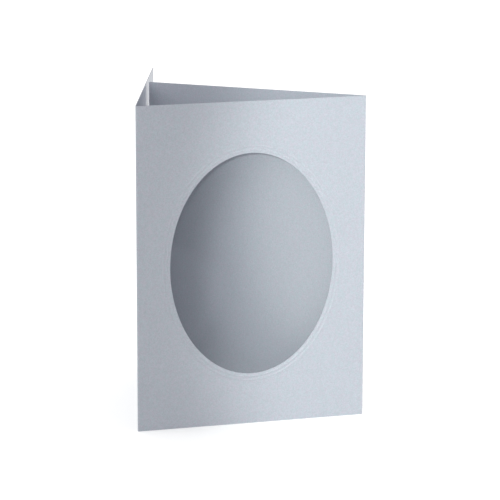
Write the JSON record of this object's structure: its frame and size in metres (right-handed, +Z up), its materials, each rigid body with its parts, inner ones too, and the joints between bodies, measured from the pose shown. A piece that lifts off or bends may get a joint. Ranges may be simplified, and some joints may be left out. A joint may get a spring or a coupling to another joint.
{
  "type": "oval aperture card",
  "caption": "Free-standing folded display card with an oval die-cut window, embossed lines round it, a rear leaf and a backing flap.",
  "frame": {"origin": "under the middle of the card's outer box, on the surface that the card stands on", "axes": "+Z up along the folds; the front panel with the window faces -Y; +X runs along the front panel from the rear leaf's fold to the backing flap's fold"},
  "size_m": [0.12, 0.1148, 0.168],
  "materials": {
    "card_stock": "pearlescent silver-grey card stock with a fine shimmer"
  },
  "bodies": {
    "root": {"folded_card": "card_stock"}
  },
  "joints": []
}
